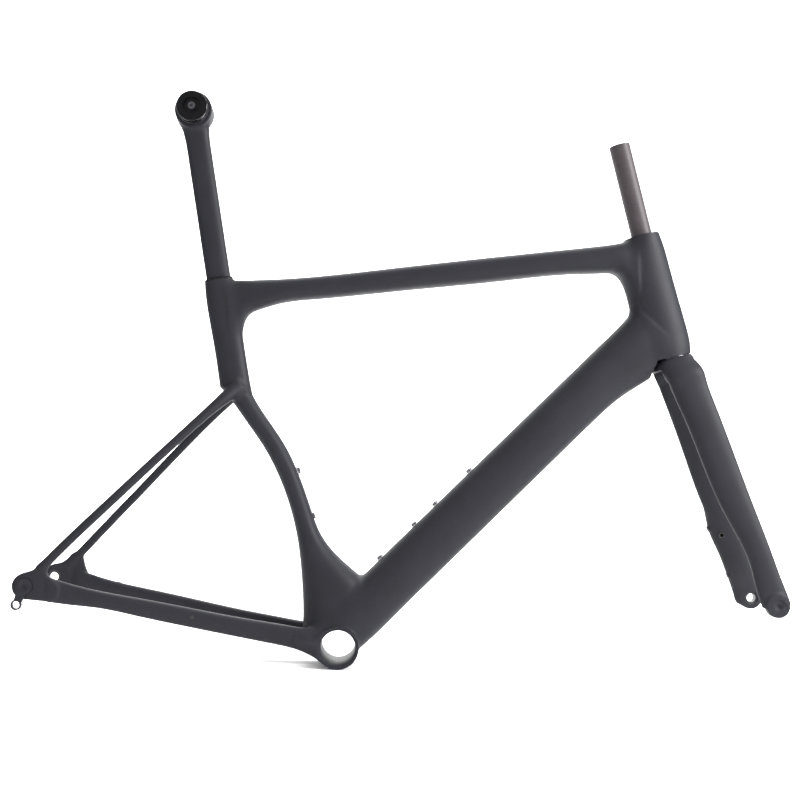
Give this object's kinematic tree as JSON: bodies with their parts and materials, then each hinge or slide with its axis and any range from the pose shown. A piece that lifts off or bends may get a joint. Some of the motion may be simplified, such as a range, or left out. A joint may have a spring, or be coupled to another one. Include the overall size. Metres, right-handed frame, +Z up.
{
  "type": "bicycle frame",
  "caption": "Aero carbon road bicycle frame for disc brakes, with tapered fork, uncut steerer tube, blade seat post and two-sided saddle rail clamp.",
  "frame": {"origin": "centre of the bottom bracket shell", "axes": "+X forwards, +Y to the rider's left along the bottom bracket's axis, +Z up, with both wheel axles at the same height"},
  "size_m": [1.0034, 0.1605, 0.7669],
  "materials": {
    "matt_carbon": "matt clear coat over carbon fibre",
    "raw_carbon": "bare sanded carbon fibre",
    "black_aluminium": "black anodised, satin",
    "gloss_black_aluminium": "polished black anodised",
    "aluminium_insert": "turned",
    "steel": "machined",
    "rubber": "moulded"
  },
  "bodies": {
    "frame": {"head_tube": "matt_carbon", "top_tube": "matt_carbon", "down_tube": "matt_carbon", "seat_tube": "matt_carbon", "bottom_bracket_shell": "matt_carbon", "right_chain_stay": "matt_carbon", "left_chain_stay": "matt_carbon", "right_seat_stay": "matt_carbon", "left_seat_stay": "matt_carbon", "right_dropout": "matt_carbon", "left_dropout": "matt_carbon", "left_rear_axle_insert": "black_aluminium", "derailleur_hanger": "black_aluminium", "hanger_screws": "steel", "down_tube_bottle_inserts": "aluminium_insert", "down_tube_bottle_bolts": "steel", "seat_tube_bottle_inserts": "aluminium_insert", "seat_tube_bottle_bolts": "steel", "rear_brake_bushes": "aluminium_insert", "chain_stay_plug": "rubber", "seat_clamp_wedge": "black_aluminium", "seat_clamp_bolt": "steel", "upper_bearing_outer_race": "steel", "lower_bearing_outer_race": "steel"},
    "upper_ball_set": {"upper_bearing_balls": "steel"},
    "lower_ball_set": {"lower_bearing_balls": "steel"},
    "fork": {"steerer_tube": "raw_carbon", "fork_crown": "matt_carbon", "right_fork_leg": "matt_carbon", "left_fork_leg": "matt_carbon", "right_front_axle_insert": "black_aluminium", "left_front_axle_insert": "black_aluminium", "crown_race": "steel", "lower_bearing_inner_race": "steel", "upper_bearing_inner_race": "steel", "compression_ring": "black_aluminium", "front_brake_inserts": "aluminium_insert", "fork_hose_grommet": "rubber"},
    "seat_post": {"seat_post": "matt_carbon"},
    "rail_clamp": {"right_rail_cradle": "black_aluminium", "left_rail_cradle": "black_aluminium", "right_clamp_ear": "gloss_black_aluminium", "left_clamp_ear": "gloss_black_aluminium", "clamp_bolt": "steel", "clamp_nut": "steel"}
  },
  "joints": [
    {"name": "steering", "type": "hinge", "parent": "frame", "child": "fork", "pos_m": [0.44286, 0, 0.39946], "axis": [-0.2588, 0, 0.9659], "range_deg": [-90, 90]},
    {"name": "upper_balls_roll", "type": "hinge", "parent": "frame", "child": "upper_ball_set", "pos_m": [0.44286, 0, 0.39946], "axis": [-0.2588, 0, 0.9659], "range_deg": [-45, 45]},
    {"name": "lower_balls_roll", "type": "hinge", "parent": "frame", "child": "lower_ball_set", "pos_m": [0.44286, 0, 0.39946], "axis": [-0.2588, 0, 0.9659], "range_deg": [-45, 45]},
    {"name": "seat_post_height", "type": "slide", "parent": "frame", "child": "seat_post", "axis": [-0.1874, 0, 0.9823], "range_m": [-0.04, 0.033]},
    {"name": "saddle_tilt", "type": "hinge", "parent": "seat_post", "child": "rail_clamp", "pos_m": [-0.22112, 0, 0.71422], "axis": [0, 1, 0], "range_deg": [-15, 15]}
  ],
  "couplings": [
    {"joint": "upper_balls_roll", "follows": "steering", "ratio": 0.4676},
    {"joint": "lower_balls_roll", "follows": "steering", "ratio": 0.47}
  ]
}
